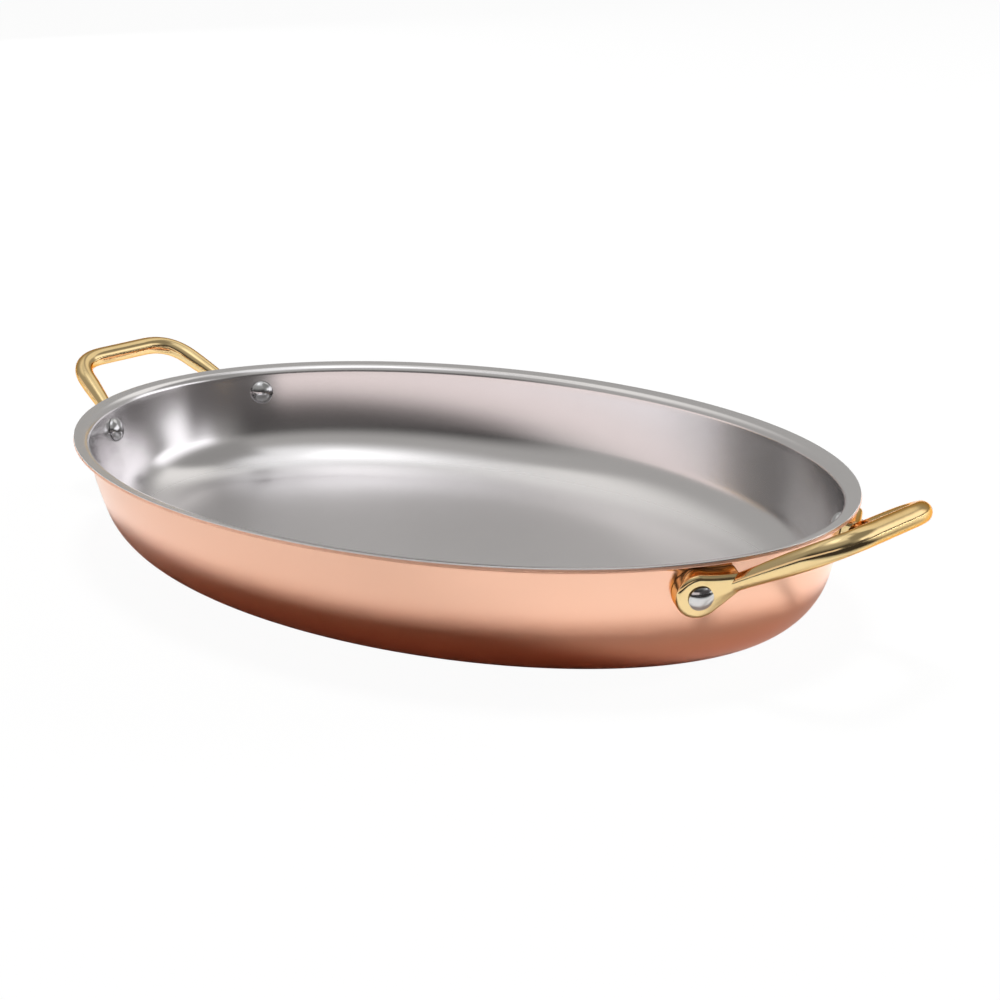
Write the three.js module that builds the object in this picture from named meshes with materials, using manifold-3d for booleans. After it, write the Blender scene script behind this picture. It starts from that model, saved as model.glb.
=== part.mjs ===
// Oval serving dish: a copper shell with a steel lining and two cast brass loop handles,
// each held by two rivets. Millimetres, +Z up, long axis on X, origin at the middle of the base.
import * as THREE from 'three';
import { mergeVertices } from 'three/addons/utils/BufferGeometryUtils.js';
import Module from 'manifold-3d';

const wasm = await Module();
wasm.setup();

// Dish
const RIM_LENGTH = 360;
const RIM_WIDTH = 238;
const RIM_HEIGHT = 47;
const COPPER_THICKNESS = 1.05;
const LINING_THICKNESS = 0.4;
const BOND_GAP = 0.05; // keeps the two skins apart as solids
const LIP_FLAT = 3.4; // straight part of the lip, along its slope
const LIP_SLOPE = 12; // degrees above level
const NECK_RADIUS = 2.2; // outside radius between wall and lip
const WALL_TOP_SLOPE = 9; // degrees from upright, under the lip
const WALL_FOOT_SLOPE = 17; // degrees from upright, where the base's curve starts
const BASE_RADIUS = 26; // outside radius between base and wall

// Rivets
const RIVET_BEARING = 32; // degrees from the long axis to the wall's outward normal
const RIVET_DROP = 11.5; // below the rim
const SHANK_DIAMETER = 5;
const OUTER_HEAD_DIAMETER = 8.6;
const OUTER_HEAD_EDGE = 0.4;
const OUTER_HEAD_CROWN = 1.5;
const INNER_HEAD_DIAMETER = 10.4;
const INNER_HEAD_HEIGHT = 3.2;
const HOLE_CLEARANCE = 0.3; // between shank and hole, all round
const SEAT_CLEARANCE = 0.3; // between a piece and the face that it sits on

// Handles
const FOOT_RADIUS = 8.2; // round end, about the rivet
const FOOT_THICKNESS = 5.5;
const FOOT_EDGE = 1.8; // rounding of the edges of its face
const FOOT_LENGTH = 14; // rivet to shoulder
const FOOT_RISE = 3.8; // shoulder's middle above the rivet, up the wall
const SHOULDER_HEIGHT = 6.8;
const ARM_ROOT_DIAMETER = 5.6;
const ARM_ROOT_RISE = 2.2; // arm's start above the rivet, up the wall
const GRIP_DIAMETER = 7.8;
const GRIP_REACH = 27.6; // grip's centreline beyond the rim
const GRIP_RISE = 9.2; // grip's centreline above the rim
const GRIP_SPAN = 51.5; // between the arms' centrelines at the grip
const GRIP_CORNER = 14; // where the corner's curve starts, from the corner

// Facets
const OVAL_SIDES = 64;
const WALL_STEPS = 3;
const BASE_STEPS = 5;
const NECK_STEPS = 3;
const RIVET_SIDES = 16;
const HEAD_STEPS = 2;
const FOOT_STEPS = 10;
const EDGE_STEPS = 2;
const BAR_STEPS = 36;
const BAR_SIDES = 12;

const SHEET = COPPER_THICKNESS + BOND_GAP + LINING_THICKNESS;
const RIM_RADIUS = RIM_WIDTH / 2;
const { degToRad } = THREE.MathUtils;

// Wall section, in the plane (distance from the axis, height), where RIM_RADIUS stands for the rim
const topSlope = degToRad(WALL_TOP_SLOPE);
const footSlope = degToRad(WALL_FOOT_SLOPE);
const lipSlope = degToRad(LIP_SLOPE);
const wallOut = (slope) => new THREE.Vector2(Math.cos(slope), -Math.sin(slope));
const lipOut = new THREE.Vector2(Math.cos(lipSlope), Math.sin(lipSlope));
const lipUnder = new THREE.Vector2(Math.sin(lipSlope), -Math.cos(lipSlope));
const lipCrest = new THREE.Vector2(RIM_RADIUS - SHEET * lipUnder.x, RIM_HEIGHT);
const neckCentre = lipCrest.clone()
  .addScaledVector(lipOut, -LIP_FLAT)
  .addScaledVector(lipUnder, NECK_RADIUS + SHEET);
const neckFoot = neckCentre.clone().addScaledVector(wallOut(topSlope), -NECK_RADIUS);
const wallDrop = neckFoot.y - BASE_RADIUS * (1 - Math.sin(footSlope));
const wallRadius = wallDrop / (Math.sin(footSlope) - Math.sin(topSlope));
const wallCentre = neckFoot.clone().addScaledVector(wallOut(topSlope), -wallRadius);
const baseCentre = wallCentre.clone().addScaledVector(wallOut(footSlope), wallRadius - BASE_RADIUS);

// A point on the end of the lip: depth is measured through the sheet from the outer face
function lipPoint(depth, trim) {
  return lipCrest.clone().addScaledVector(lipUnder, SHEET - depth).addScaledVector(lipOut, -trim);
}

function arc(centre, radius, from, to, steps) {
  const point = (angle) => new THREE.Vector2(Math.cos(angle), Math.sin(angle)).multiplyScalar(radius).add(centre);
  return Array.from({ length: steps + 1 }, (_, i) => point(THREE.MathUtils.lerp(from, to, i / steps)));
}

// One face of the sheet, from the axis to the end of the lip
function sheetFace(depth, trim = 0) {
  const base = arc(baseCentre, BASE_RADIUS - depth, -Math.PI / 2, -footSlope, BASE_STEPS);
  const wall = arc(wallCentre, wallRadius - depth, -footSlope, -topSlope, WALL_STEPS).slice(1, -1);
  const neck = arc(neckCentre, NECK_RADIUS + depth, Math.PI - topSlope, Math.PI / 2 + lipSlope, NECK_STEPS);
  return [new THREE.Vector2(0, depth), ...base, ...wall, ...neck, lipPoint(depth, trim)];
}

// Oval plan: the rim is an ellipse, and every other line lies at a fixed distance inside it
function ovalPoint(bearing, offset) {
  const a = RIM_LENGTH / 2;
  const b = RIM_WIDTH / 2;
  const reach = Math.hypot(a * Math.cos(bearing), b * Math.sin(bearing));
  const x = (a * a / reach + offset) * Math.cos(bearing);
  const y = (b * b / reach + offset) * Math.sin(bearing);
  return new THREE.Vector2(x, y);
}

function ovalLathe(section) {
  const geometry = new THREE.LatheGeometry(section, OVAL_SIDES).rotateX(Math.PI / 2);
  const position = geometry.attributes.position;
  for (let i = 0; i < position.count; i += 1) {
    const radius = Math.hypot(position.getX(i), position.getY(i));
    const bearing = Math.atan2(position.getY(i), position.getX(i));
    const ring = Math.max(radius, baseCentre.x);
    const point = ovalPoint(bearing, ring - RIM_RADIUS).multiplyScalar(radius / ring);
    position.setXY(i, point.x, point.y);
  }
  return geometry;
}

// Closed mesh with shared vertices and no collapsed triangles
function closedMesh(geometry) {
  const bare = geometry.clone();
  bare.deleteAttribute('normal');
  bare.deleteAttribute('uv');
  const merged = mergeVertices(bare);
  const index = Array.from(merged.index.array);
  const kept = [];
  for (let i = 0; i < index.length; i += 3) {
    const [a, b, c] = index.slice(i, i + 3);
    if (a !== b && b !== c && c !== a) {
      kept.push(a, b, c);
    }
  }
  merged.setIndex(kept);
  return merged;
}

function solid(geometry) {
  const mesh = closedMesh(geometry);
  const vertProperties = new Float32Array(mesh.attributes.position.array);
  const triVerts = new Uint32Array(mesh.index.array);
  return new wasm.Manifold(new wasm.Mesh({ numProp: 3, vertProperties, triVerts }));
}

function geometryOf(manifold) {
  const mesh = manifold.getMesh();
  const geometry = new THREE.BufferGeometry();
  geometry.setAttribute('position', new THREE.BufferAttribute(new Float32Array(mesh.vertProperties), 3));
  geometry.setIndex(Array.from(mesh.triVerts));
  geometry.computeVertexNormals();
  return geometry;
}

function mirroredInY(geometry) {
  const mesh = closedMesh(geometry).scale(1, -1, 1);
  const index = Array.from(mesh.index.array);
  mesh.setIndex(index.reverse());
  return mesh;
}

// Seat of a rivet on the outside of the wall: x along the wall, y up it, z straight out
function rivetSeat(bearing) {
  const height = RIM_HEIGHT - RIVET_DROP;
  const slope = Math.asin((wallCentre.y - height) / wallRadius);
  const radius = wallCentre.x + wallRadius * Math.cos(slope);
  const along = new THREE.Vector3(-Math.sin(bearing), Math.cos(bearing), 0);
  const outLevel = new THREE.Vector3(Math.cos(bearing), Math.sin(bearing), 0);
  const up = outLevel.clone().multiplyScalar(Math.sin(slope)).setZ(Math.cos(slope));
  const out = outLevel.clone().multiplyScalar(Math.cos(slope)).setZ(-Math.sin(slope));
  const place = ovalPoint(bearing, radius - RIM_RADIUS);
  return new THREE.Matrix4().makeBasis(along, up, out).setPosition(place.x, place.y, height);
}

const RIVETS = [
  { name: 'rivet_right_front', bearing: degToRad(-RIVET_BEARING) },
  { name: 'rivet_right_back', bearing: degToRad(RIVET_BEARING) },
  { name: 'rivet_left_back', bearing: degToRad(180 - RIVET_BEARING) },
  { name: 'rivet_left_front', bearing: degToRad(180 + RIVET_BEARING) },
];

function rivet() {
  const innerSeat = -SHEET - SEAT_CLEARANCE;
  const outerSeat = FOOT_THICKNESS + SEAT_CLEARANCE;
  const outerRadius = OUTER_HEAD_DIAMETER / 2;
  const section = new THREE.Path().moveTo(0, innerSeat - INNER_HEAD_HEIGHT);
  section.absellipse(0, innerSeat, INNER_HEAD_DIAMETER / 2, INNER_HEAD_HEIGHT, -Math.PI / 2, 0, false);
  section.lineTo(SHANK_DIAMETER / 2, innerSeat);
  section.lineTo(SHANK_DIAMETER / 2, outerSeat);
  section.lineTo(outerRadius, outerSeat);
  const capRadius = (outerRadius ** 2 + OUTER_HEAD_CROWN ** 2) / (2 * OUTER_HEAD_CROWN);
  const capCentre = outerSeat + OUTER_HEAD_EDGE + OUTER_HEAD_CROWN - capRadius;
  section.absarc(0, capCentre, capRadius, Math.acos(outerRadius / capRadius), Math.PI / 2, false);
  return new THREE.LatheGeometry(section.getPoints(HEAD_STEPS), RIVET_SIDES).rotateX(Math.PI / 2);
}

// Rivet hole, long enough to pass through foot, copper and lining
function rivetHole(bearing) {
  const depth = 4 * (SHEET + FOOT_THICKNESS);
  const radius = SHANK_DIAMETER / 2 + HOLE_CLEARANCE;
  const hole = new THREE.CylinderGeometry(radius, radius, depth, RIVET_SIDES).rotateX(Math.PI / 2);
  return solid(hole.applyMatrix4(rivetSeat(bearing)));
}

function withRivetHoles(piece) {
  return RIVETS.reduce((cut, { bearing }) => cut.subtract(rivetHole(bearing)), piece);
}

function copperShell() {
  const section = [...sheetFace(0), ...sheetFace(COPPER_THICKNESS).reverse()];
  return geometryOf(withRivetHoles(solid(ovalLathe(section))));
}

function steelLining() {
  const section = [...sheetFace(COPPER_THICKNESS + BOND_GAP), ...sheetFace(SHEET).reverse()];
  return geometryOf(withRivetHoles(solid(ovalLathe(section))));
}

// The dish grown by the clearance and filled, which the handle's back is cut to
function dishRoom() {
  const section = sheetFace(-SEAT_CLEARANCE, -SEAT_CLEARANCE);
  const top = RIM_HEIGHT + SEAT_CLEARANCE;
  section.push(new THREE.Vector2(section.at(-1).x, top), new THREE.Vector2(0, top));
  return solid(ovalLathe(section));
}

// Foot: a round end about the rivet, drawn in to a square shoulder where the arm starts
function foot() {
  const low = FOOT_RISE - SHOULDER_HEIGHT / 2;
  const high = FOOT_RISE + SHOULDER_HEIGHT / 2;
  const lowTangent = Math.atan2(low, FOOT_LENGTH) - Math.acos(FOOT_RADIUS / Math.hypot(FOOT_LENGTH, low));
  const outline = new THREE.Shape().moveTo(FOOT_LENGTH, high);
  outline.quadraticCurveTo(FOOT_LENGTH / 3, high, 0, FOOT_RADIUS);
  outline.absarc(0, 0, FOOT_RADIUS, Math.PI / 2, 2 * Math.PI + lowTangent, false);
  outline.lineTo(FOOT_LENGTH, low);
  const depth = 2 * (FOOT_THICKNESS - FOOT_EDGE);
  const block = new THREE.ExtrudeGeometry(outline, {
    depth,
    curveSegments: FOOT_STEPS,
    bevelThickness: FOOT_EDGE,
    bevelSize: FOOT_EDGE,
    bevelOffset: -FOOT_EDGE,
    bevelSegments: EDGE_STEPS,
  });
  return block.translate(0, 0, -depth / 2);
}

// Bar: two arms, two rounded corners and the grip, from foot to foot of the right-hand handle
function barPath() {
  const seat = rivetSeat(degToRad(-RIVET_BEARING));
  const root = new THREE.Vector3(FOOT_LENGTH - ARM_ROOT_DIAMETER / 2, ARM_ROOT_RISE, FOOT_THICKNESS / 2);
  const frontRoot = root.applyMatrix4(seat);
  const gripX = RIM_LENGTH / 2 + GRIP_REACH;
  const frontCorner = new THREE.Vector3(gripX, -GRIP_SPAN / 2, RIM_HEIGHT + GRIP_RISE);
  const mirror = (point) => point.clone().setY(-point.y);
  const armRun = frontCorner.clone().sub(frontRoot).setLength(GRIP_CORNER);
  const frontIn = frontCorner.clone().sub(armRun);
  const frontOut = frontCorner.clone().setY(GRIP_CORNER - GRIP_SPAN / 2);
  const path = new THREE.CurvePath();
  path.add(new THREE.LineCurve3(frontRoot, frontIn));
  path.add(new THREE.QuadraticBezierCurve3(frontIn, frontCorner, frontOut));
  path.add(new THREE.LineCurve3(frontOut, mirror(frontOut)));
  path.add(new THREE.QuadraticBezierCurve3(mirror(frontOut), mirror(frontCorner), mirror(frontIn)));
  path.add(new THREE.LineCurve3(mirror(frontIn), mirror(frontRoot)));
  return path;
}

function bar() {
  const path = barPath();
  const armShare = path.curves[0].getLength() / path.getLength();
  const frames = path.computeFrenetFrames(BAR_STEPS);
  const positions = [];
  const index = [];
  for (let i = 0; i <= BAR_STEPS; i += 1) {
    const share = i / BAR_STEPS;
    const taper = THREE.MathUtils.smoothstep(Math.min(share, 1 - share), 0, armShare);
    const radius = THREE.MathUtils.lerp(ARM_ROOT_DIAMETER, GRIP_DIAMETER, taper) / 2;
    for (let j = 0; j < BAR_SIDES; j += 1) {
      const turn = 2 * Math.PI * j / BAR_SIDES;
      const point = path.getPointAt(share)
        .addScaledVector(frames.normals[i], radius * Math.cos(turn))
        .addScaledVector(frames.binormals[i], radius * Math.sin(turn));
      positions.push(point.x, point.y, point.z);
    }
  }
  const ring = (i, j) => i * BAR_SIDES + j % BAR_SIDES;
  for (let j = 0; j < BAR_SIDES; j += 1) {
    for (let i = 0; i < BAR_STEPS; i += 1) {
      index.push(ring(i, j), ring(i, j + 1), ring(i + 1, j));
      index.push(ring(i, j + 1), ring(i + 1, j + 1), ring(i + 1, j));
    }
    index.push(ring(0, 0), ring(0, j + 1), ring(0, j));
    index.push(ring(BAR_STEPS, 0), ring(BAR_STEPS, j), ring(BAR_STEPS, j + 1));
  }
  const geometry = new THREE.BufferGeometry();
  geometry.setAttribute('position', new THREE.Float32BufferAttribute(positions, 3));
  geometry.setIndex(index);
  return geometry;
}

function handle() {
  const frontFoot = foot().applyMatrix4(rivetSeat(degToRad(-RIVET_BEARING)));
  const casting = solid(bar()).add(solid(frontFoot)).add(solid(mirroredInY(frontFoot)));
  return geometryOf(withRivetHoles(casting.subtract(dishRoom())));
}

const COPPER = new THREE.MeshStandardMaterial({ color: '#d9946b', roughness: 0.28, metalness: 1 });
const STEEL = new THREE.MeshStandardMaterial({ color: '#b9b5b2', roughness: 0.35, metalness: 1 });
const BRASS = new THREE.MeshStandardMaterial({ color: '#d8b566', roughness: 0.18, metalness: 1 });
const RIVET_STEEL = new THREE.MeshStandardMaterial({ color: '#c4c4c4', roughness: 0.2, metalness: 1 });

const dish = new THREE.Group();

function addPiece(name, geometry, material) {
  const piece = new THREE.Mesh(geometry, material);
  piece.name = name;
  dish.add(piece);
  return piece;
}

addPiece('copper_shell', copperShell(), COPPER);
addPiece('steel_lining', steelLining(), STEEL);
addPiece('handle_right', handle(), BRASS);
addPiece('handle_left', handle(), BRASS).rotation.z = Math.PI;
for (const { name, bearing } of RIVETS) {
  addPiece(name, closedMesh(rivet()), RIVET_STEEL).applyMatrix4(rivetSeat(bearing));
}

export default dish;
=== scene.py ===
# Oval serving dish: satin copper outside, brushed steel inside, cast brass loop handles, steel rivets.
# The sizes below are in millimetres, as in the part. Meshes are in metres, +Z up, long axis on X.
import math

import bmesh
import bpy
from mathutils import Matrix, Vector


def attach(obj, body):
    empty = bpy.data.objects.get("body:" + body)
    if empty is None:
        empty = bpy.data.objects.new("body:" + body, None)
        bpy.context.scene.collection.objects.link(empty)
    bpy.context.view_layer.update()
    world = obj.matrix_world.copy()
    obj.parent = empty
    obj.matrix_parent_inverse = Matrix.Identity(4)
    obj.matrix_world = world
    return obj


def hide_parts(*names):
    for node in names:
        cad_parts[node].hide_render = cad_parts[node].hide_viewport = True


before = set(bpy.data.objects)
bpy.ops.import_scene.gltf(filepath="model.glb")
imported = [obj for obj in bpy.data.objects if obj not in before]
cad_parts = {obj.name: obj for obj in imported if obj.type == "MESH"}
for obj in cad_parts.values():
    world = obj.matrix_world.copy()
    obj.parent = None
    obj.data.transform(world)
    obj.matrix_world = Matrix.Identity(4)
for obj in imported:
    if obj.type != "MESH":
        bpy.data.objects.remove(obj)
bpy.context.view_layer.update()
scene = bpy.context.scene
scene.view_settings.view_transform = "Standard"

MM = 0.001

# Dish
RIM_LENGTH = 360
RIM_WIDTH = 238
RIM_HEIGHT = 47
COPPER_THICKNESS = 1.05
LINING_THICKNESS = 0.4
BOND_GAP = 0.05
LIP_FLAT = 3.4  # straight part of the lip, along its slope
LIP_SLOPE = math.radians(12)  # above level
NECK_RADIUS = 2.2  # outside, between wall and lip
WALL_TOP_SLOPE = math.radians(9)  # from upright, under the lip
WALL_FOOT_SLOPE = math.radians(17)  # from upright, where the base's curve starts
BASE_RADIUS = 26  # outside, between base and wall
SHEET = COPPER_THICKNESS + BOND_GAP + LINING_THICKNESS
RIM_RADIUS = RIM_WIDTH / 2
EDGE_UNDER = 0.35  # rounding of the copper's cut edge, below
EDGE_OVER = 0.25  # rounding of the steel's cut edge, above

# Rivets
RIVET_BEARING = math.radians(32)  # from the long axis to the wall's outward normal
RIVET_DROP = 11.5  # below the rim
SHANK_RADIUS = 2.5
OUTER_HEAD_RADIUS = 4.3
OUTER_HEAD_EDGE = 0.4
OUTER_HEAD_CROWN = 1.5
OUTER_HEAD_ROUNDING = 0.15
INNER_HEAD_RADIUS = 5.2
INNER_HEAD_HEIGHT = 3.2
HOLE_CLEARANCE = 0.3  # between shank and hole, all round
SEAT_CLEARANCE = 0.3  # between a piece and the face that it sits on

# Handles
FOOT_RADIUS = 8.2  # round end, about the rivet
FOOT_THICKNESS = 5.5
FOOT_EDGE = 1.8  # rounding of the edges of its face
FOOT_LENGTH = 14  # rivet to shoulder
FOOT_RISE = 3.8  # shoulder's middle above the rivet, up the wall
SHOULDER_HEIGHT = 6.8
ARM_ROOT_DIAMETER = 5.6
ARM_ROOT_RISE = 2.2  # arm's start above the rivet, up the wall
GRIP_DIAMETER = 7.78  # a hair under the part's, because a rounder bar reaches further
GRIP_REACH = 27.6  # grip's centreline beyond the rim
GRIP_RISE = 9.2  # grip's centreline above the rim
GRIP_SPAN = 51.5  # between the arms' centrelines at the grip
GRIP_CORNER = 14  # where the corner's curve starts, from the corner

# Mesh fineness
OVAL_STEPS = 256
FLOOR_STEPS = 16
BASE_STEPS = 26
WALL_STEPS = 12
NECK_STEPS = 12
LIP_STEPS = 6
EDGE_STEPS = 6
RIVET_STEPS = 40
HEAD_STEPS = 14
HEAD_FLAT_STEPS = 2
HEAD_EDGE_STEPS = 3
SHANK_STEPS = 4
FOOT_STEPS = 14
FOOT_END_STEPS = 40
BEVEL_STEPS = 5
ARM_STEPS = 20
CORNER_STEPS = 24
GRIP_STEPS = 10
BAR_SIDES = 32
SHEET_CREASE = math.radians(40)  # edges sharper than this keep a hard line
CAST_CREASE = math.radians(38)
NEAR = 0.01  # points closer than this to the shoulder lie on it
MERGE_DISTANCE = 1e-6  # metres


def add_node(tree, kind, inputs=None, **settings):
    """Adds a node, sets its properties, and fills or links its inputs."""
    node = tree.nodes.new(kind)
    for name, value in settings.items():
        setattr(node, name, value)
    for key, value in (inputs or {}).items():
        socket = node.inputs[key]
        if isinstance(value, bpy.types.NodeSocket):
            tree.links.new(value, socket)
        else:
            socket.default_value = value
    return node


def linear(hex_colour):
    """An sRGB hex colour as linear RGBA."""
    parts = [int(hex_colour[i:i + 2], 16) / 255 for i in (1, 3, 5)]
    return [c / 12.92 if c <= 0.04045 else ((c + 0.055) / 1.055) ** 2.4 for c in parts] + [1.0]


# Wall section, in the plane (distance from the axis, height), where RIM_RADIUS stands for the rim
wall_out_top = Vector((math.cos(WALL_TOP_SLOPE), -math.sin(WALL_TOP_SLOPE)))
wall_out_foot = Vector((math.cos(WALL_FOOT_SLOPE), -math.sin(WALL_FOOT_SLOPE)))
lip_out = Vector((math.cos(LIP_SLOPE), math.sin(LIP_SLOPE)))
lip_under = Vector((math.sin(LIP_SLOPE), -math.cos(LIP_SLOPE)))
lip_crest = Vector((RIM_RADIUS - SHEET * lip_under.x, RIM_HEIGHT))
neck_centre = lip_crest - LIP_FLAT * lip_out + (NECK_RADIUS + SHEET) * lip_under
neck_foot = neck_centre - NECK_RADIUS * wall_out_top
wall_drop = neck_foot.y - BASE_RADIUS * (1 - math.sin(WALL_FOOT_SLOPE))
wall_radius = wall_drop / (math.sin(WALL_FOOT_SLOPE) - math.sin(WALL_TOP_SLOPE))
wall_centre = neck_foot - wall_radius * wall_out_top
base_centre = wall_centre + (wall_radius - BASE_RADIUS) * wall_out_foot


def lip_point(depth, trim):
    """A point near the lip's edge: depth through the sheet from outside, trim in from the edge."""
    return lip_crest + (SHEET - depth) * lip_under - trim * lip_out


def arc(centre, radius, start, end, steps):
    """Points on an arc, with both ends."""
    angles = [start + (end - start) * i / steps for i in range(steps + 1)]
    return [centre + radius * Vector((math.cos(a), math.sin(a))) for a in angles]


def line(start, end, steps):
    """Points from start up to, but without, end."""
    return [start.lerp(end, i / steps) for i in range(steps)]


def curve(start, bend, end, steps):
    """Points on a quadratic curve from start up to, but without, end."""
    shares = [i / steps for i in range(steps)]
    return [start.lerp(bend, s).lerp(bend.lerp(end, s), s) for s in shares]


def sheet_face(depth, trim):
    """One face of the sheet, from the axis to the end of the lip, with extra points on the flats."""
    neck_start = math.pi - WALL_TOP_SLOPE
    neck_end = math.pi / 2 + LIP_SLOPE
    base = arc(base_centre, BASE_RADIUS - depth, -math.pi / 2, -WALL_FOOT_SLOPE, BASE_STEPS)
    wall = arc(wall_centre, wall_radius - depth, -WALL_FOOT_SLOPE, -WALL_TOP_SLOPE, WALL_STEPS)
    neck = arc(neck_centre, NECK_RADIUS + depth, neck_start, neck_end, NECK_STEPS)
    end = lip_point(depth, trim)
    floor = line(Vector((0, depth)), base[0], FLOOR_STEPS)
    lip = line(neck[-1], end, LIP_STEPS) + [end]
    return floor + base[:-1] + wall[:-1] + neck[:-1] + lip


def copper_section():
    """The outer sheet, its cut edge rounded below."""
    corner = lip_point(EDGE_UNDER, EDGE_UNDER)
    edge = arc(corner, EDGE_UNDER, LIP_SLOPE - math.pi / 2, LIP_SLOPE, EDGE_STEPS)
    return sheet_face(0, EDGE_UNDER)[:-1] + edge + sheet_face(COPPER_THICKNESS, 0)[::-1]


def lining_section():
    """The inner sheet, its cut edge rounded above."""
    corner = lip_point(SHEET - EDGE_OVER, EDGE_OVER)
    edge = arc(corner, EDGE_OVER, LIP_SLOPE, LIP_SLOPE + math.pi / 2, EDGE_STEPS)
    return sheet_face(COPPER_THICKNESS + BOND_GAP, 0) + edge[:-1] + sheet_face(SHEET, EDGE_OVER)[::-1]


def room_section():
    """The dish grown by the clearance and filled, which the handles' backs are cut to."""
    face = sheet_face(-SEAT_CLEARANCE, -SEAT_CLEARANCE)
    top = RIM_HEIGHT + SEAT_CLEARANCE
    return face + [Vector((face[-1].x, top)), Vector((0, top))]


def rivet_section():
    """Rivet along its axis: domed head inside the dish, shank, low crowned head outside."""
    inner = -SHEET - SEAT_CLEARANCE
    outer = FOOT_THICKNESS + SEAT_CLEARANCE
    rounding = OUTER_HEAD_ROUNDING
    flat_end = Vector((OUTER_HEAD_RADIUS - rounding, outer))
    dome = arc(Vector((0, 0)), 1, -math.pi / 2, 0, HEAD_STEPS)
    points = [Vector((INNER_HEAD_RADIUS * p.x, inner + INNER_HEAD_HEIGHT * p.y)) for p in dome]
    points += line(Vector((SHANK_RADIUS, inner)), Vector((SHANK_RADIUS, outer)), SHANK_STEPS)
    points += line(Vector((SHANK_RADIUS, outer)), flat_end, HEAD_FLAT_STEPS)
    points += arc(flat_end + Vector((0, rounding)), rounding, -math.pi / 2, 0, HEAD_EDGE_STEPS)
    cap = (OUTER_HEAD_RADIUS ** 2 + OUTER_HEAD_CROWN ** 2) / (2 * OUTER_HEAD_CROWN)
    cap_centre = Vector((0, outer + OUTER_HEAD_EDGE + OUTER_HEAD_CROWN - cap))
    low = math.acos(OUTER_HEAD_RADIUS / cap)
    return points + arc(cap_centre, cap, low, math.pi / 2, HEAD_STEPS)


def hole_section():
    """A rivet hole's cutter, long enough to pass through foot and sheets."""
    reach = 2 * (SHEET + FOOT_THICKNESS)
    radius = SHANK_RADIUS + HOLE_CLEARANCE
    return [Vector((0, -reach)), Vector((radius, -reach)), Vector((radius, reach)), Vector((0, reach))]


def section_mesh(name, points):
    """A chain of edges. X is the distance from the axis, Y the running length, Z the height."""
    run = 0.0
    verts = []
    for i, point in enumerate(points):
        run += (point - points[i - 1]).length if i else 0.0
        verts.append((point.x * MM, run * MM, point.y * MM))
    mesh = bpy.data.meshes.new(name)
    mesh.from_pydata(verts, [(i, i + 1) for i in range(len(verts) - 1)], [])
    return mesh


def new_tree(name, sockets):
    """An empty node tree with these named inputs and one geometry output."""
    tree = bpy.data.node_groups.new(name, "GeometryNodeTree")
    for label, kind in sockets.items():
        tree.interface.new_socket(name=label, in_out="INPUT", socket_type=kind)
    tree.interface.new_socket(name="Geometry", in_out="OUTPUT", socket_type="NodeSocketGeometry")
    return tree, add_node(tree, "NodeGroupInput").outputs


def end_tree(tree, shape, material):
    """Ends a tree with real geometry in its material."""
    real = add_node(tree, "GeometryNodeRealizeInstances", {"Geometry": shape})
    made = add_node(tree, "GeometryNodeSetMaterial", {"Geometry": real.outputs[0], "Material": material})
    add_node(tree, "NodeGroupOutput", {"Geometry": made.outputs[0]})


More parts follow.
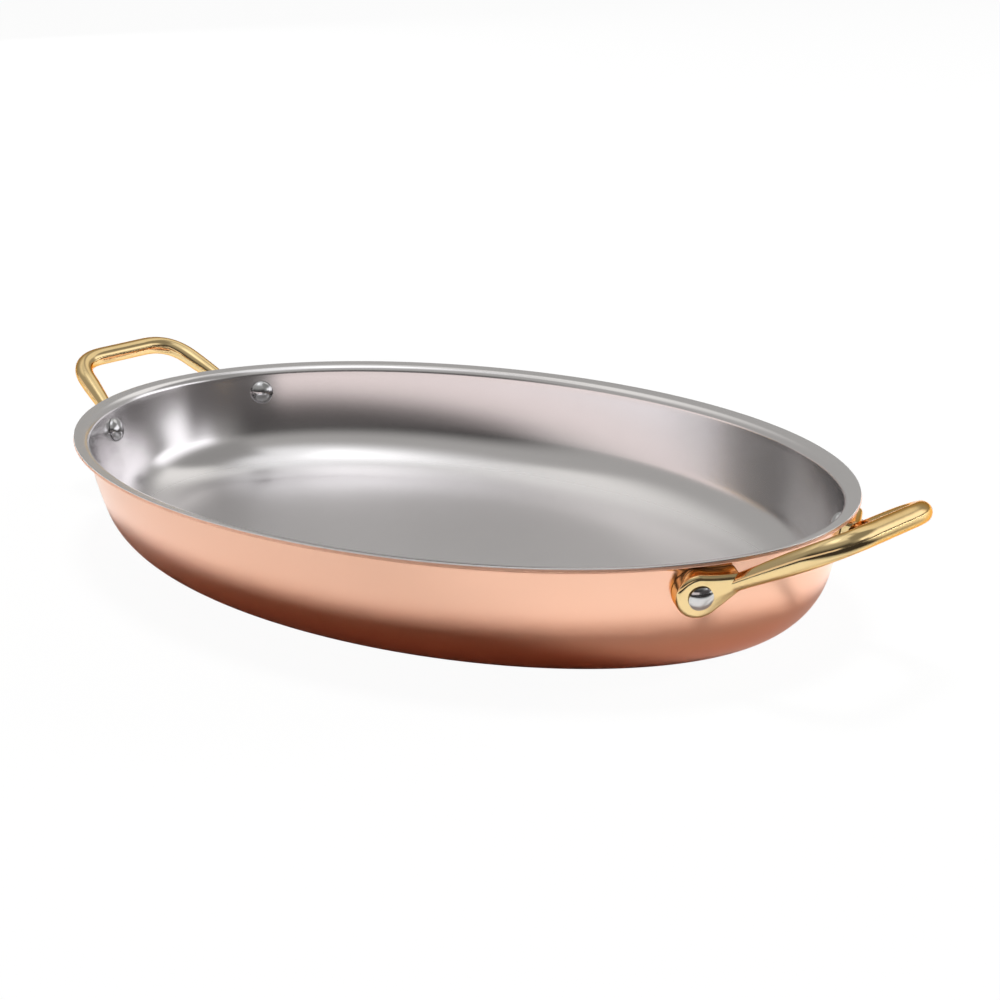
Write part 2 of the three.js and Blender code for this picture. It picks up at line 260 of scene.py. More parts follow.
def oval_sweep_tree():
    """Sweeps a section round an oval.

    The rim is an ellipse, and every other line lies at a fixed distance inside it.
    """
    tree, given = new_tree("oval sweep", {
        "Section": "NodeSocketGeometry",
        "Rim Length": "NodeSocketFloat",
        "Rim Width": "NodeSocketFloat",
        "Flat Radius": "NodeSocketFloat",
        "Steps": "NodeSocketInt",
        "Material": "NodeSocketMaterial",
    })
    # A grid with a row for each bearing and a column for each point of the section
    size = add_node(tree, "GeometryNodeAttributeDomainSize", {
        "Geometry": given["Section"],
    }, component="MESH")
    rows = add_node(tree, "ShaderNodeMath", {0: given["Steps"], 1: 1.0}, operation="ADD")
    grid = add_node(tree, "GeometryNodeMeshGrid", {
        "Vertices X": rows.outputs[0], "Vertices Y": size.outputs["Point Count"],
    })
    index = add_node(tree, "GeometryNodeInputIndex")
    column = add_node(tree, "FunctionNodeIntegerMath", {
        0: index.outputs[0], 1: size.outputs["Point Count"],
    }, operation="MODULO")
    row = add_node(tree, "FunctionNodeIntegerMath", {
        0: index.outputs[0], 1: size.outputs["Point Count"],
    }, operation="DIVIDE_FLOOR")
    place = add_node(tree, "GeometryNodeInputPosition")
    sample = add_node(tree, "GeometryNodeSampleIndex", {
        "Geometry": given["Section"], "Value": place.outputs[0], "Index": column.outputs[0],
    }, data_type="FLOAT_VECTOR", domain="POINT")
    section = add_node(tree, "ShaderNodeSeparateXYZ", {0: sample.outputs["Value"]})
    # The point of the rim where its outward normal has the row's bearing
    share = add_node(tree, "ShaderNodeMath", {0: row.outputs[0], 1: given["Steps"]}, operation="DIVIDE")
    bearing = add_node(tree, "ShaderNodeMath", {
        0: share.outputs[0], 1: math.tau,
    }, operation="MULTIPLY")
    facing = add_node(tree, "ShaderNodeVectorRotate", {
        "Vector": (1, 0, 0), "Angle": bearing.outputs[0],
    }, rotation_type="Z_AXIS")
    axes = add_node(tree, "ShaderNodeCombineXYZ", {"X": given["Rim Length"], "Y": given["Rim Width"]})
    half = add_node(tree, "ShaderNodeVectorMath", {0: axes.outputs[0], "Scale": 0.5}, operation="SCALE")
    support = add_node(tree, "ShaderNodeVectorMath", {
        0: half.outputs[0], 1: facing.outputs[0],
    }, operation="MULTIPLY")
    reach = add_node(tree, "ShaderNodeVectorMath", {0: support.outputs[0]}, operation="LENGTH")
    inverse = add_node(tree, "ShaderNodeMath", {0: 1.0, 1: reach.outputs["Value"]}, operation="DIVIDE")
    squared = add_node(tree, "ShaderNodeVectorMath", {
        0: half.outputs[0], 1: support.outputs[0],
    }, operation="MULTIPLY")
    rim = add_node(tree, "ShaderNodeVectorMath", {
        0: squared.outputs[0], "Scale": inverse.outputs[0],
    }, operation="SCALE")
    # The section's point, moved in from the rim. On the flat base it draws in to the middle instead
    ring = add_node(tree, "ShaderNodeMath", {
        0: section.outputs["X"], 1: given["Flat Radius"],
    }, operation="MAXIMUM")
    rim_radius = add_node(tree, "ShaderNodeMath", {0: given["Rim Width"], 1: 0.5}, operation="MULTIPLY")
    inset = add_node(tree, "ShaderNodeMath", {
        0: ring.outputs[0], 1: rim_radius.outputs[0],
    }, operation="SUBTRACT")
    shift = add_node(tree, "ShaderNodeVectorMath", {
        0: facing.outputs[0], "Scale": inset.outputs[0],
    }, operation="SCALE")
    ring_place = add_node(tree, "ShaderNodeVectorMath", {
        0: rim.outputs[0], 1: shift.outputs[0],
    }, operation="ADD")
    inward = add_node(tree, "ShaderNodeMath", {
        0: section.outputs["X"], 1: ring.outputs[0],
    }, operation="DIVIDE")
    level = add_node(tree, "ShaderNodeVectorMath", {
        0: ring_place.outputs[0], "Scale": inward.outputs[0],
    }, operation="SCALE")
    height = add_node(tree, "ShaderNodeCombineXYZ", {"Z": section.outputs["Z"]})
    point = add_node(tree, "ShaderNodeVectorMath", {
        0: level.outputs[0], 1: height.outputs[0],
    }, operation="ADD")
    # Place round the dish and along the section, for the polishing and brushing lines
    turned = add_node(tree, "ShaderNodeVectorMath", {
        0: facing.outputs[0], "Scale": rim_radius.outputs[0],
    }, operation="SCALE")
    run = add_node(tree, "ShaderNodeCombineXYZ", {"Z": section.outputs["Y"]})
    path = add_node(tree, "ShaderNodeVectorMath", {
        0: turned.outputs[0], 1: run.outputs[0],
    }, operation="ADD")
    marked = add_node(tree, "GeometryNodeStoreNamedAttribute", {
        "Geometry": grid.outputs["Mesh"], "Name": "brush_path", "Value": path.outputs[0],
    }, data_type="FLOAT_VECTOR", domain="POINT")
    placed = add_node(tree, "GeometryNodeSetPosition", {
        "Geometry": marked.outputs[0], "Position": point.outputs[0],
    })
    closed = add_node(tree, "GeometryNodeMergeByDistance", {
        "Geometry": placed.outputs[0], "Distance": MERGE_DISTANCE,
    })
    smooth = add_node(tree, "GeometryNodeSetShadeSmooth", {
        "Geometry": closed.outputs[0], "Shade Smooth": True,
    })
    end_tree(tree, smooth.outputs[0], given["Material"])
    return tree


def seat_copies_tree():
    """Copies one shape to each rivet seat, its Z axis straight out of the wall."""
    tree, given = new_tree("copies at the rivet seats", {
        "Seats": "NodeSocketGeometry",
        "Shape": "NodeSocketObject",
        "Material": "NodeSocketMaterial",
    })
    shape = add_node(tree, "GeometryNodeObjectInfo", {
        "Object": given["Shape"],
    }, transform_space="RELATIVE")
    out = add_node(tree, "GeometryNodeInputNamedAttribute", {"Name": "out"}, data_type="FLOAT_VECTOR")
    along = add_node(tree, "GeometryNodeInputNamedAttribute", {
        "Name": "along",
    }, data_type="FLOAT_VECTOR")
    turn = add_node(tree, "FunctionNodeAxesToRotation", {
        "Primary Axis": out.outputs[0], "Secondary Axis": along.outputs[0],
    }, primary_axis="Z", secondary_axis="X")
    copies = add_node(tree, "GeometryNodeInstanceOnPoints", {
        "Points": given["Seats"], "Instance": shape.outputs["Geometry"], "Rotation": turn.outputs[0],
    })
    end_tree(tree, copies.outputs[0], given["Material"])
    return tree


def bar_tree():
    """A round bar along a path, thin at both roots and full over the grip."""
    tree, given = new_tree("tapered bar", {
        "Path": "NodeSocketGeometry",
        "Root Diameter": "NodeSocketFloat",
        "Grip Diameter": "NodeSocketFloat",
        "Arm Share": "NodeSocketFloat",
        "Sides": "NodeSocketInt",
        "Material": "NodeSocketMaterial",
    })
    spine = add_node(tree, "GeometryNodeMeshToCurve", {"Mesh": given["Path"]})
    along = add_node(tree, "GeometryNodeSplineParameter")
    back = add_node(tree, "ShaderNodeMath", {0: 1.0, 1: along.outputs["Factor"]}, operation="SUBTRACT")
    nearer = add_node(tree, "ShaderNodeMath", {
        0: along.outputs["Factor"], 1: back.outputs[0],
    }, operation="MINIMUM")
    width = add_node(tree, "ShaderNodeMapRange", {
        "Value": nearer.outputs[0], "From Min": 0.0, "From Max": given["Arm Share"],
        "To Min": given["Root Diameter"], "To Max": given["Grip Diameter"],
    }, interpolation_type="SMOOTHSTEP")
    radius = add_node(tree, "ShaderNodeMath", {0: width.outputs[0], 1: 0.5}, operation="MULTIPLY")
    circle = add_node(tree, "GeometryNodeCurvePrimitiveCircle", {
        "Resolution": given["Sides"], "Radius": 1.0,
    }, mode="RADIUS")
    tube = add_node(tree, "GeometryNodeCurveToMesh", {
        "Curve": spine.outputs[0], "Profile Curve": circle.outputs["Curve"],
        "Scale": radius.outputs[0], "Fill Caps": True,
    })
    smooth = add_node(tree, "GeometryNodeSetShadeSmooth", {
        "Geometry": tube.outputs[0], "Shade Smooth": True,
    })
    end_tree(tree, smooth.outputs[0], given["Material"])
    return tree


def set_mesh(piece):
    """Keeps the mesh that the piece's modifiers make, and removes the modifiers."""
    graph = bpy.context.evaluated_depsgraph_get()
    shown = piece.evaluated_get(graph)
    mesh = bpy.data.meshes.new_from_object(shown, preserve_all_data_layers=True, depsgraph=graph)
    piece.modifiers.clear()
    mesh.name = piece.name
    piece.data = mesh
    return piece


def grow(name, start, tree, **values):
    """A piece that a node tree makes from a start mesh, kept as a plain mesh."""
    piece = bpy.data.objects.new(name, start)
    modifier = piece.modifiers.new("growth", "NODES")
    modifier.node_group = tree
    for item in tree.interface.items_tree:
        key = item.name.lower().replace(" ", "_")
        if item.in_out == "INPUT" and key in values:
            modifier[item.identifier] = values[key]
    scene.collection.objects.link(piece)
    return set_mesh(piece)


OVAL = {
    "rim_length": RIM_LENGTH * MM,
    "rim_width": RIM_WIDTH * MM,
    "flat_radius": base_centre.x * MM,
    "steps": OVAL_STEPS,
}
# Any circle serves for a round piece, because the sweep keeps a section's distances from its axis
CIRCLE = {
    "rim_length": 10 * MM,
    "rim_width": 10 * MM,
    "flat_radius": 0.0001 * MM,
    "steps": RIVET_STEPS,
}


def sweep(name, points, path, material=None):
    """A section swept round the dish's oval, or round its own axis."""
    return grow(name, section_mesh(name, points), sweep_tree, material=material, **path)


def combine(piece, tool, operation):
    """Joins a tool to the piece, or cuts the piece by it. The tool is used up."""
    modifier = piece.modifiers.new("cut", "BOOLEAN")
    modifier.operation = operation
    modifier.solver = "EXACT"
    modifier.object = tool
    set_mesh(piece)
    bpy.data.objects.remove(tool)
    return piece


def rivet_seat(bearing):
    """Seat on the outside of the wall: X along the wall, Y up it, Z straight out."""
    height = RIM_HEIGHT - RIVET_DROP
    slope = math.asin((wall_centre.y - height) / wall_radius)
    inset = wall_centre.x + wall_radius * math.cos(slope) - RIM_RADIUS
    level = Vector((math.cos(bearing), math.sin(bearing), 0))
    along = Vector((-math.sin(bearing), math.cos(bearing), 0))
    up = level * math.sin(slope) + Vector((0, 0, math.cos(slope)))
    out = level * math.cos(slope) - Vector((0, 0, math.sin(slope)))
    half_length = RIM_LENGTH / 2
    reach = math.hypot(half_length * level.x, RIM_RADIUS * level.y)
    x = (half_length ** 2 / reach + inset) * level.x
    y = (RIM_RADIUS ** 2 / reach + inset) * level.y
    seat = Matrix((along, up, out)).transposed().to_4x4()
    seat.translation = Vector((x, y, height)) * MM
    return seat


def seats_mesh():
    """The four rivet seats as points with their directions."""
    bearings = [-RIVET_BEARING, RIVET_BEARING, math.pi - RIVET_BEARING, math.pi + RIVET_BEARING]
    seats = [rivet_seat(bearing) for bearing in bearings]
    mesh = bpy.data.meshes.new("rivet_seats")
    mesh.from_pydata([seat.translation for seat in seats], [], [])
    for name, column in (("along", 0), ("out", 2)):
        layer = mesh.attributes.new(name, "FLOAT_VECTOR", "POINT")
        for item, seat in zip(layer.data, seats):
            item.vector = seat.col[column].to_3d()
    return mesh


def at_seats(name, shape, material=None):
    """Copies of a shape at the four seats. The shape is used up."""
    piece = grow(name, seats_mesh(), seats_tree, shape=shape, material=material)
    bpy.data.objects.remove(shape)
    return piece


def rivet_holes():
    """Cutters for the four rivet holes."""
    return at_seats("rivet_holes", sweep("rivet_hole", hole_section(), CIRCLE))


def foot_outline():
    """Foot in its seat: a round end about the rivet, drawn in to a square shoulder."""
    low = FOOT_RISE - SHOULDER_HEIGHT / 2
    high = FOOT_RISE + SHOULDER_HEIGHT / 2
    tangent = math.atan2(low, FOOT_LENGTH) - math.acos(FOOT_RADIUS / math.hypot(FOOT_LENGTH, low))
    start = Vector((FOOT_LENGTH, high))
    bend = Vector((FOOT_LENGTH / 3, high))
    end = Vector((0, FOOT_RADIUS))
    upper = curve(start, bend, end, FOOT_STEPS)
    round_end = arc(Vector((0, 0)), FOOT_RADIUS, math.pi / 2, math.tau + tangent, FOOT_END_STEPS)
    return upper + round_end + [Vector((FOOT_LENGTH, low))]


def foot(name, mirrored):
    """One foot of the right-hand handle, deep enough to be cut to the wall."""
    shape = bmesh.new()
    outline = [shape.verts.new((p.x, p.y, FOOT_THICKNESS)) for p in foot_outline()]
    front = shape.faces.new(outline)
    bottom = bmesh.ops.extrude_face_region(shape, geom=[front], use_keep_orig=True)
    lowered = [v for v in bottom["geom"] if isinstance(v, bmesh.types.BMVert)]
    bmesh.ops.translate(shape, verts=lowered, vec=(0, 0, -2 * FOOT_THICKNESS))
    shape.normal_update()
    # Round the outer face and the shoulder
    shoulder = FOOT_LENGTH - NEAR
    edges = [
        e for e in shape.edges
        if all(v.co.z > 0 for v in e.verts)
        or (any(v.co.z > 0 for v in e.verts) and all(v.co.x > shoulder for v in e.verts))
    ]
    bmesh.ops.bevel(
        shape, geom=edges, offset=FOOT_EDGE, offset_type="OFFSET",
        segments=BEVEL_STEPS, profile=0.5, affect="EDGES",
    )
    bmesh.ops.scale(shape, vec=(MM, MM, MM), verts=shape.verts)
    shape.transform(rivet_seat(-RIVET_BEARING))
    if mirrored:
        shape.transform(Matrix.Scale(-1, 4, (0, 1, 0)))
    bmesh.ops.recalc_face_normals(shape, faces=shape.faces)
    mesh = bpy.data.meshes.new(name)
    shape.to_mesh(mesh)
    shape.free()
    piece = bpy.data.objects.new(name, mesh)
    scene.collection.objects.link(piece)
    return piece


def bar_path():
    """Arms, rounded corners and grip of the right-hand handle, and one arm's share of the length."""
    start = Vector((FOOT_LENGTH - ARM_ROOT_DIAMETER / 2, ARM_ROOT_RISE, FOOT_THICKNESS / 2))
    root = rivet_seat(-RIVET_BEARING) @ (start * MM)
    corner = Vector((RIM_LENGTH / 2 + GRIP_REACH, -GRIP_SPAN / 2, RIM_HEIGHT + GRIP_RISE)) * MM
    before = corner - (corner - root).normalized() * GRIP_CORNER * MM
    after = corner + Vector((0, GRIP_CORNER * MM, 0))
    bend = curve(before, corner, after, CORNER_STEPS)
    middle = Vector((after.x, 0, after.z))
    half = line(root, before, ARM_STEPS) + bend + line(after, middle, GRIP_STEPS)
    points = half + [middle] + [Vector((p.x, -p.y, p.z)) for p in reversed(half)]
    length = sum((b - a).length for a, b in zip(points, points[1:]))
    return points, (before - root).length / length


def brass_handle(material):
    """Right-hand handle: bar and feet cast in one, backs cut to the wall, drilled for the rivets."""
    points, arm_share = bar_path()
    path = bpy.data.meshes.new("bar_path")
    path.from_pydata(points, [(i, i + 1) for i in range(len(points) - 1)], [])
    casting = grow(
        "brass_handle_right", path, bar_maker, root_diameter=ARM_ROOT_DIAMETER * MM,
        grip_diameter=GRIP_DIAMETER * MM, arm_share=arm_share, sides=BAR_SIDES, material=material,
    )
    combine(casting, foot("front_foot", False), "UNION")
    combine(casting, foot("back_foot", True), "UNION")
    combine(casting, sweep("dish_room", room_section(), OVAL), "DIFFERENCE")
    combine(casting, rivet_holes(), "DIFFERENCE")
    casting.data.shade_smooth()
    casting.data.set_sharp_from_angle(angle=CAST_CREASE)
    return casting


# Materials
# Sizes of the patterns, in millimetres. Real polishing and brushing lines are about 0.1 apart,
# which is too fine to show, so they are drawn further apart.
POLISH_SPACING = 0.7143
POLISH_LENGTH = 111.1
BRUSH_SPACING = 0.625
BRUSH_LENGTH = 83.33
COPPER_CLOUD = 35.71
STEEL_CLOUD = 28.57
CASTING_WAVER = 7.692
CASTING_GRAIN = 1.111
DIE_MARK = 2
# Heights on the dish between which a finish or the painted reflection changes
# Painted reflection: below these heights the copper is painted a deeper red, for light bounced between
# copper and floor
PAINTED_BOUNCE_FULL = 8
PAINTED_BOUNCE_GONE = 32
DULL_EDGE_START = 45.3
DULL_EDGE_FULL = 45.6
DULL_FLOOR_GONE = 12
# Most of a noise texture lies between these
NOISE_LOW = 0.3
NOISE_HIGH = 0.7
# Colour sockets of the Mix node, by index, because several of its sockets have the same name
MIX_A = 6
MIX_B = 7
MIX_RESULT = 2


def repeats(size):
    """How often a pattern of this size fits in a metre."""
    return 1 / (size * MM)


def new_metal(name):
    """A bare metal and its node tree."""
    material = bpy.data.materials.new(name)
    material.use_nodes = True
    tree = material.node_tree
    tree.nodes["Principled BSDF"].inputs["Metallic"].default_value = 1.0
    return material, tree


def finish_metal(tree, colour, gloss, relief):
    """Gives a metal its colour, its roughness and the relief of its surface."""
    inputs = tree.nodes["Principled BSDF"].inputs
    tree.links.new(colour.outputs[MIX_RESULT], inputs["Base Color"])
    tree.links.new(gloss.outputs[0], inputs["Roughness"])
    tree.links.new(relief.outputs[0], inputs["Normal"])


def level_lines(tree, length, spacing):
    """Fine lines round the dish, of this length and this far apart."""
    path = add_node(tree, "ShaderNodeAttribute", attribute_name="brush_path")
    lines_at = add_node(tree, "ShaderNodeMapping", {
        "Vector": path.outputs["Vector"],
        "Scale": (repeats(length), repeats(length), repeats(spacing)),
    })
    return add_node(tree, "ShaderNodeTexNoise", {
        "Vector": lines_at.outputs[0], "Scale": 1.0, "Detail": 3.0, "Roughness": 0.6,
    })


def satin_copper():
    """Copper, drawn and then polished round the dish: warm, soft reflections with fine level lines, and a
    painted deeper red reflection towards the foot.
    """
    material, tree = new_metal("satin_polished_copper")
    lines = level_lines(tree, POLISH_LENGTH, POLISH_SPACING)
    place = add_node(tree, "ShaderNodeTexCoord")
    cloud = add_node(tree, "ShaderNodeTexNoise", {
        "Vector": place.outputs["Object"], "Scale": repeats(COPPER_CLOUD),
        "Detail": 4.0, "Roughness": 0.55,
    })
    polished = add_node(tree, "ShaderNodeMix", {
        "Factor": cloud.outputs["Fac"], MIX_A: linear("#f3c3ab"), MIX_B: linear("#edbda4"),
    }, data_type="RGBA")
    # Painted reflection: towards the foot the copper is painted a deeper red. It stands in for the
    # copper-tinted light that the floor and the wall bounce between them under the overhang
    height = add_node(tree, "ShaderNodeSeparateXYZ", {0: place.outputs["Object"]})
    painted_bounce_red = add_node(tree, "ShaderNodeMapRange", {
        "Value": height.outputs["Z"], "From Min": PAINTED_BOUNCE_FULL * MM, "From Max": PAINTED_BOUNCE_GONE * MM,
        "To Min": 1.0, "To Max": 0.0,
    }, interpolation_type="SMOOTHSTEP")
    colour = add_node(tree, "ShaderNodeMix", {
        "Factor": painted_bounce_red.outputs[0], MIX_A: polished.outputs[MIX_RESULT], MIX_B: linear("#f2aa8a"),
    }, data_type="RGBA")
    face_gloss = add_node(tree, "ShaderNodeMapRange", {
        "Value": lines.outputs["Fac"], "From Min": NOISE_LOW, "From Max": NOISE_HIGH,
        "To Min": 0.16, "To Max": 0.23,
    })
    # The cut edge under the lining is duller than the faces
    edge_gloss = add_node(tree, "ShaderNodeMapRange", {
        "Value": height.outputs["Z"], "From Min": DULL_EDGE_START * MM, "From Max": DULL_EDGE_FULL * MM,
        "To Min": 0.0, "To Max": 0.3,
    })
    gloss = add_node(tree, "ShaderNodeMath", {
        0: face_gloss.outputs[0], 1: edge_gloss.outputs[0],
    }, operation="ADD")
    relief = add_node(tree, "ShaderNodeBump", {
        "Height": lines.outputs["Fac"], "Strength": 0.06, "Distance": 0.1 * MM,
    })
    finish_metal(tree, colour, gloss, relief)
    return material


def brushed_steel():
    """Stainless steel sheet, finely brushed: grey, with wide soft reflections and faint level lines."""
    material, tree = new_metal("fine_brushed_stainless_steel")
    lines = level_lines(tree, BRUSH_LENGTH, BRUSH_SPACING)
    place = add_node(tree, "ShaderNodeTexCoord")
    cloud = add_node(tree, "ShaderNodeTexNoise", {
        "Vector": place.outputs["Object"], "Scale": repeats(STEEL_CLOUD),
        "Detail": 5.0, "Roughness": 0.6,
    })
    colour = add_node(tree, "ShaderNodeMix", {
        "Factor": cloud.outputs["Fac"], MIX_A: linear("#eeeced"), MIX_B: linear("#e9e7e8"),
    }, data_type="RGBA")
    wall_gloss = add_node(tree, "ShaderNodeMapRange", {
        "Value": lines.outputs["Fac"], "From Min": NOISE_LOW, "From Max": NOISE_HIGH,
        "To Min": 0.15, "To Max": 0.21,
    })
    # The floor of the dish is duller than its wall
    height = add_node(tree, "ShaderNodeSeparateXYZ", {0: place.outputs["Object"]})
    floor_gloss = add_node(tree, "ShaderNodeMapRange", {
        "Value": height.outputs["Z"], "From Min": SHEET * MM, "From Max": DULL_FLOOR_GONE * MM,
        "To Min": 0.14, "To Max": 0.0,
    }, interpolation_type="SMOOTHSTEP")
    gloss = add_node(tree, "ShaderNodeMath", {
        0: wall_gloss.outputs[0], 1: floor_gloss.outputs[0],
    }, operation="ADD")
    relief = add_node(tree, "ShaderNodeBump", {
        "Height": lines.outputs["Fac"], "Strength": 0.05, "Distance": 0.1 * MM,
    })
    finish_metal(tree, colour, gloss, relief)
    return material


def cast_brass():
    """Brass, sand cast and polished by hand: clear reflections that waver a little."""
    material, tree = new_metal("polished_cast_brass")
    place = add_node(tree, "ShaderNodeTexCoord")
    waver = add_node(tree, "ShaderNodeTexNoise", {
        "Vector": place.outputs["Object"], "Scale": repeats(CASTING_WAVER),
        "Detail": 2.0, "Roughness": 0.5,
    })
    grain = add_node(tree, "ShaderNodeTexNoise", {
        "Vector": place.outputs["Object"], "Scale": repeats(CASTING_GRAIN),
        "Detail": 4.0, "Roughness": 0.6,
    })
    colour = add_node(tree, "ShaderNodeMix", {
        "Factor": waver.outputs["Fac"], MIX_A: linear("#e9d19f"), MIX_B: linear("#e4c993"),
    }, data_type="RGBA")
    gloss = add_node(tree, "ShaderNodeMapRange", {
        "Value": grain.outputs["Fac"], "From Min": NOISE_LOW, "From Max": NOISE_HIGH,
        "To Min": 0.08, "To Max": 0.14,
    })
    relief = add_node(tree, "ShaderNodeBump", {
        "Height": waver.outputs["Fac"], "Strength": 0.12, "Distance": 0.8 * MM,
    })
    # Towards its outlines the brass turns amber
    tree.nodes["Principled BSDF"].inputs["Specular Tint"].default_value = linear("#f0b878")
    finish_metal(tree, colour, gloss, relief)
    return material


def rivet_steel():
    """Stainless steel rivet, headed in a die and polished: small bright reflections."""
    material, tree = new_metal("polished_rivet_steel")
    place = add_node(tree, "ShaderNodeTexCoord")
    marks = add_node(tree, "ShaderNodeTexNoise", {
        "Vector": place.outputs["Object"], "Scale": repeats(DIE_MARK), "Detail": 3.0, "Roughness": 0.6,
    })
    colour = add_node(tree, "ShaderNodeMix", {
        "Factor": marks.outputs["Fac"], MIX_A: linear("#d2d2d3"), MIX_B: linear("#c6c7c9"),
    }, data_type="RGBA")
    gloss = add_node(tree, "ShaderNodeMapRange", {
        "Value": marks.outputs["Fac"], "From Min": NOISE_LOW, "From Max": NOISE_HIGH,
        "To Min": 0.08, "To Max": 0.14,
    })
    relief = add_node(tree, "ShaderNodeBump", {
        "Height": marks.outputs["Fac"], "Strength": 0.1, "Distance": 0.2 * MM,
    })
    finish_metal(tree, colour, gloss, relief)
    return material


# Pieces
copper = satin_copper()
steel = brushed_steel()
brass = cast_brass()
rivet_metal = rivet_steel()
sweep_tree = oval_sweep_tree()
seats_tree = seat_copies_tree()
bar_maker = bar_tree()

copper_bowl = sweep("copper_bowl", copper_section(), OVAL, copper)
combine(copper_bowl, rivet_holes(), "DIFFERENCE")
copper_bowl.data.set_sharp_from_angle(angle=SHEET_CREASE)

lining_sheet = sweep("lining_sheet", lining_section(), OVAL, steel)
combine(lining_sheet, rivet_holes(), "DIFFERENCE")
lining_sheet.data.set_sharp_from_angle(angle=SHEET_CREASE)

brass_handle_right = brass_handle(brass)
brass_handle_left = bpy.data.objects.new("brass_handle_left", brass_handle_right.data.copy())
brass_handle_left.data.transform(Matrix.Rotation(math.pi, 4, "Z"))
scene.collection.objects.link(brass_handle_left)

steel_rivets = at_seats("steel_rivets", sweep("rivet", rivet_section(), CIRCLE), rivet_metal)
steel_rivets.data.set_sharp_from_angle(angle=SHEET_CREASE)

RIVET_NODES = ["rivet_right_front", "rivet_right_back", "rivet_left_back", "rivet_left_front"]
PIECES = [
    (copper_bowl, "copper", ["copper_shell"]),
    (lining_sheet, "lining_steel", ["steel_lining"]),
    (brass_handle_right, "handle_brass", ["handle_right"]),
    (brass_handle_left, "handle_brass", ["handle_left"]),
    (steel_rivets, "rivet_steel", RIVET_NODES),
]
for piece, slot, nodes in PIECES:
    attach(piece, "root")
    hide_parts(*nodes)


# Studio, in metres
FLOOR_SIZE = 12
FLOOR_LEVEL = -0.0002  # just under the base, so that the two faces don't coincide
FLOOR_CARD_LEVEL = 0.0003
FLOOR_WHITE = 0.96  # share of plain white in the floor that the camera sees
FILL_LIGHT = 0.02  # the world's light on the floor
CAMERA_BEARING = -44
CARD_COLUMN = 3  # degrees
ALL_ROUND = (-180, 180)
WARM_WHITE = "#fffdf9"
ROSY_WHITE = "#fff4f2"


def stage_piece(name, verts, faces, material):
    """A piece of the studio, not of the dish."""
    mesh = bpy.data.meshes.new(name)
    mesh.from_pydata(verts, [], faces)
    mesh.materials.append(material)
    piece = bpy.data.objects.new(name, mesh)
    scene.collection.objects.link(piece)
    return piece


def floor_paper():
    """White paper sweep. The camera sees most of it as white, and a little of the dish's shadow."""
    material = bpy.data.materials.new("white_paper_sweep")
    material.use_nodes = True
    tree = material.node_tree
    tree.nodes.clear()
    paper = add_node(tree, "ShaderNodeBsdfDiffuse", {"Color": linear("#f8f8f6")})
    white = add_node(tree, "ShaderNodeEmission", {"Color": (1, 1, 1, 1), "Strength": 1.0})
    ray = add_node(tree, "ShaderNodeLightPath")
    shown = add_node(tree, "ShaderNodeMath", {
        0: ray.outputs["Is Camera Ray"], 1: FLOOR_WHITE,
    }, operation="MULTIPLY")
    both = add_node(tree, "ShaderNodeMixShader", {
        0: shown.outputs[0], 1: paper.outputs[0], 2: white.outputs[0],
    })
    add_node(tree, "ShaderNodeOutputMaterial", {"Surface": both.outputs[0]})
    return material


def fade(inside, width):
    """How much of a card is there at this distance inside its edge, when the soft edge is this wide."""
    share = min(max(inside / width, 0.0), 1.0) if width else 1.0
    return share * share * (3 - 2 * share)


def on_dome(distance):
    """Places a card's points at heights in degrees above the floor, seen from the dish."""
    def place(height):
        rise = math.radians(height)
        return Vector((math.cos(rise), 0, math.sin(rise))) * distance
    return place


def on_floor(reach):
    """Places a card's points on the floor at distances from the dish's middle."""
    return Vector((reach, 0, FLOOR_CARD_LEVEL))


def card_paper(name, tint, level):
    """A card's glow, clear where its cover is nought."""
    material = bpy.data.materials.new(name)
    material.use_nodes = True
    tree = material.node_tree
    tree.nodes.clear()
    cover = add_node(tree, "ShaderNodeAttribute", attribute_name="cover")
    tone = add_node(tree, "ShaderNodeEmission", {"Color": linear(tint), "Strength": level})
    clear = add_node(tree, "ShaderNodeBsdfTransparent")
    both = add_node(tree, "ShaderNodeMixShader", {
        0: cover.outputs["Fac"], 1: clear.outputs[0], 2: tone.outputs[0],
    })
    add_node(tree, "ShaderNodeOutputMaterial", {"Surface": both.outputs[0]})
    return material


def studio_card(name, bearings, spans, fades, tint, level, place, rows=30):
    """A card with soft edges, shown only in the dish's reflections.

    Bearings are degrees from the camera's. Spans are heights in degrees, or distances on the floor.
    Fades are the widths of the soft edges at the sides and at the start and end of the span.
    """
    first, last = bearings
    start, end = spans
    side_fade, start_fade, end_fade = fades
    columns = math.ceil((last - first) / CARD_COLUMN)
    verts = []
    covers = []
    for i in range(columns + 1):
        bearing = first + (last - first) * i / columns
        sides = fade(min(bearing - first, last - bearing), side_fade)
        turn = Matrix.Rotation(math.radians(CAMERA_BEARING + bearing), 3, "Z")
        for j in range(rows + 1):
            span = start + (end - start) * j / rows
            verts.append(turn @ place(span))
            covers.append(sides * fade(span - start, start_fade) * fade(end - span, end_fade))
    step = rows + 1
    faces = [(i * step + j, i * step + j + 1, (i + 1) * step + j + 1, (i + 1) * step + j)
             for i in range(columns) for j in range(rows)]
    card = stage_piece(name, verts, faces, card_paper(name, tint, level))
    card.data.attributes.new("cover", "FLOAT", "POINT").data.foreach_set("value", covers)
    card.visible_camera = False
    card.visible_diffuse = False
    card.visible_shadow = False
    return card


half_floor = FLOOR_SIZE / 2
signs = [(-1, -1), (1, -1), (1, 1), (-1, 1)]
corners = [(x * half_floor, y * half_floor, FLOOR_LEVEL) for x, y in signs]
stage_piece("floor", corners, [(0, 1, 2, 3)], floor_paper())

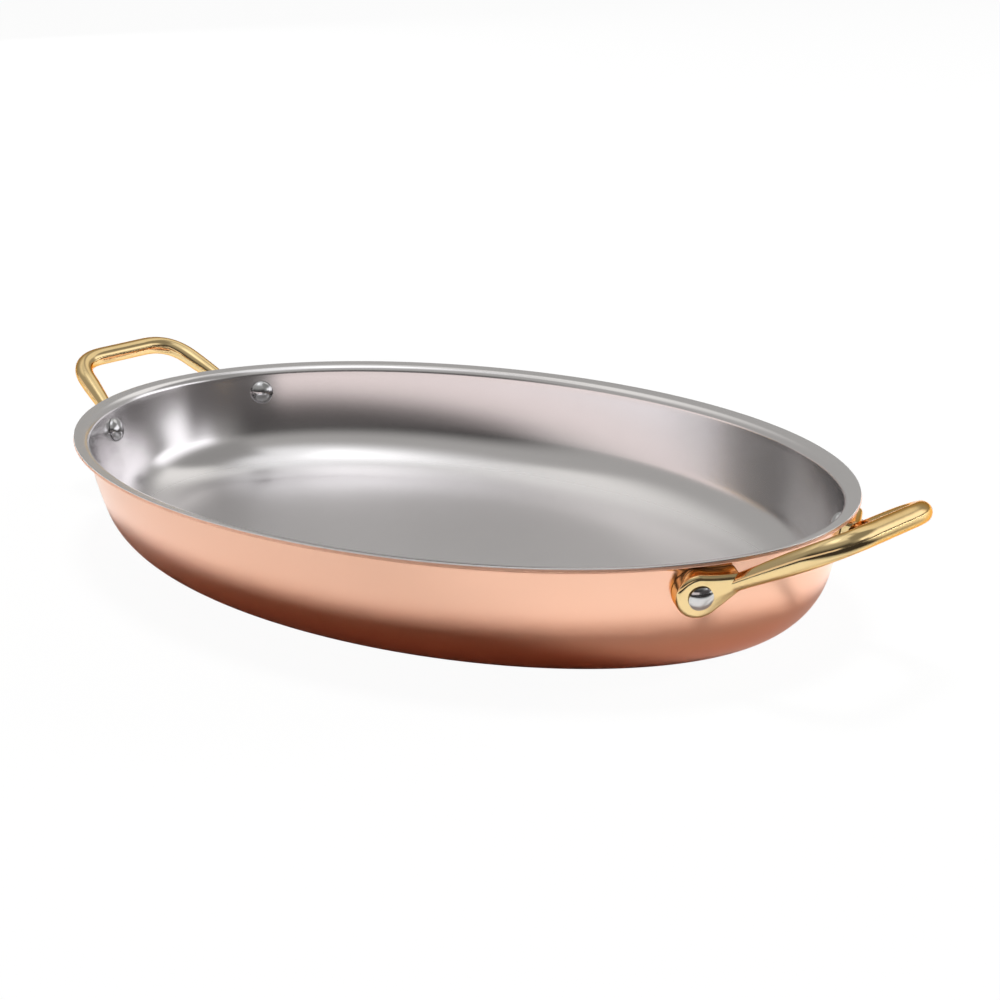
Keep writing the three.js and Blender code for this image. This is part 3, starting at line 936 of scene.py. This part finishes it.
# The overhead softbox and the room, from the far cards to the near ones, which cover them
studio_card("softbox_face", (-150, -10), (60, 89), (25, 15, 3), "#ffffff", 1.5, on_dome(5.0))
studio_card("grey_room_walls", ALL_ROUND, (0, 74), (0, 0, 24), WARM_WHITE, 0.41, on_dome(4.8))
studio_card("pale_ceiling_behind", (-176, -95), (28, 66), (14, 25, 15), WARM_WHITE, 0.9, on_dome(4.7))
studio_card("grey_ceiling_right", (28, 165), (31, 82), (14, 9, 17), WARM_WHITE, 0.3, on_dome(4.6))
studio_card("pale_ceiling_right", (106, 178), (26, 72), (14, 12, 14), WARM_WHITE, 0.95, on_dome(4.5))
studio_card("dark_room_front", (-85, 52), (8, 44), (26, 5, 30), ROSY_WHITE, 0.03, on_dome(4.4))
studio_card("window_right", (49, 122), (5, 36), (13, 3, 15), "#fffdff", 1.45, on_dome(4.2))
studio_card("pale_sweep_left", (-122, 18), (0, 14), (12, 0, 5), "#fff0ed", 0.98, on_dome(4.0))
studio_card("dark_flag_right", (8, 82), (0, 19), (17, 0, 7), ROSY_WHITE, 0.1, on_dome(3.8))
studio_card("dark_flag_right_low", (60, 110), (0, 8), (14, 0, 4), ROSY_WHITE, 0.15, on_dome(3.7))
studio_card("dark_table_front", (-70, 80), (0.235, 3.0), (25, 0.05, 1.0), ROSY_WHITE, 0.05, on_floor, 120)

# To the camera and in reflections the world is white
world = bpy.data.worlds.new("studio")
scene.world = world
world.use_nodes = True
sky = world.node_tree
sky.nodes.clear()
ray = add_node(sky, "ShaderNodeLightPath")
seen = add_node(sky, "ShaderNodeMath", {
    0: ray.outputs["Is Camera Ray"], 1: ray.outputs["Is Glossy Ray"],
}, operation="ADD")
shown = add_node(sky, "ShaderNodeMath", {
    0: seen.outputs[0], 1: ray.outputs["Is Transmission Ray"],
}, operation="ADD", use_clamp=True)
level = add_node(sky, "ShaderNodeMapRange", {
    "Value": shown.outputs[0], "To Min": FILL_LIGHT, "To Max": 1.0,
})
light = add_node(sky, "ShaderNodeBackground", {"Color": (1, 1, 1, 1), "Strength": level.outputs[0]})
add_node(sky, "ShaderNodeOutputWorld", {"Surface": light.outputs[0]})


def softbox(name, bearing, height, size, power, distance=3.0):
    """A square softbox facing the dish, which lights the paper. The metals show the cards instead.

    The bearing is in degrees from the camera's, the height in degrees above the floor.
    """
    data = bpy.data.lights.new(name, "AREA")
    data.shape = "SQUARE"
    data.size = size
    data.energy = power
    lamp = bpy.data.objects.new(name, data)
    around = Matrix.Rotation(math.radians(CAMERA_BEARING + bearing), 4, "Z")
    tilt = Matrix.Rotation(math.radians(90 - height), 4, "Y")
    lamp.matrix_world = around @ tilt @ Matrix.Translation((0, 0, distance))
    lamp.visible_camera = False
    lamp.visible_glossy = False
    scene.collection.objects.link(lamp)


softbox("softbox_overhead", 180, 81, 0.8, 82)
softbox("softbox_right", 97, 16, 1.0, 84)
softbox("softbox_left", -161, 14, 1.0, 30)

# Camera, fitted to the rim, the lower outline, the rivets and the handles
CAMERA_PLACE = (0.5504, -0.5309, 0.2618)
CAMERA_YAW = math.radians(44.32)
CAMERA_PITCH = math.radians(17.28)  # downwards
CAMERA_ROLL = math.radians(-1.79)
camera_data = bpy.data.cameras.new("camera")
camera_data.sensor_width = 36
camera_data.lens = 72.72
camera = bpy.data.objects.new("camera", camera_data)
yaw = Matrix.Rotation(CAMERA_YAW, 4, "Z")
pitch = Matrix.Rotation(math.pi / 2 - CAMERA_PITCH, 4, "X")
roll = Matrix.Rotation(CAMERA_ROLL, 4, "Z")
camera.matrix_world = Matrix.Translation(CAMERA_PLACE) @ yaw @ pitch @ roll
scene.collection.objects.link(camera)
scene.camera = camera
